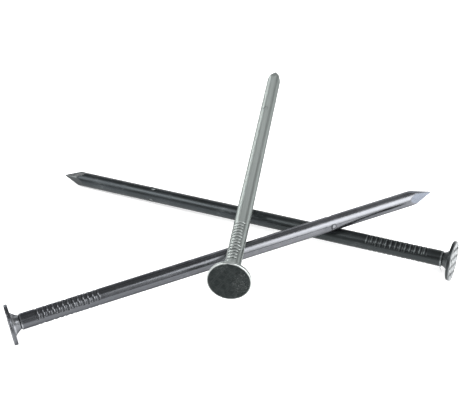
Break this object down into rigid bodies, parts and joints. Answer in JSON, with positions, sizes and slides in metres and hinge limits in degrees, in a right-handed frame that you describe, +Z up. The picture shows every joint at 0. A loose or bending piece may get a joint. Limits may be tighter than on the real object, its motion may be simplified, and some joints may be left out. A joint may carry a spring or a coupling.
{
  "type": "round wire nails",
  "caption": "Loose round wire nails lying across one another, with chequered flat heads, grip rings under the head and diamond points; each lifts off.",
  "frame": {"origin": "on the ground the pile lies on, under the middle of its outline", "axes": "+Z up; +X to the right and +Y to the back, as seen from the side where the top nail's head lies"},
  "size_m": [0.1397, 0.1454, 0.0234],
  "materials": {
    "dark_steel": "drawn wire with a dark blue-grey oxide",
    "bright_steel": "bright drawn wire with a light oil film",
    "grey_steel": "matt grey drawn wire"
  },
  "bodies": {
    "bottom_nail": {"bottom_nail": "dark_steel"},
    "middle_nail": {"middle_nail": "bright_steel"},
    "top_nail": {"top_nail": "grey_steel"}
  },
  "joints": [
    {"name": "middle_nail_lift", "type": "slide", "parent": "bottom_nail", "child": "middle_nail", "axis": [0, 0, 1], "range_m": [0, 0.04]},
    {"name": "top_nail_lift", "type": "slide", "parent": "middle_nail", "child": "top_nail", "axis": [0, 0, 1], "range_m": [0, 0.04]}
  ]
}
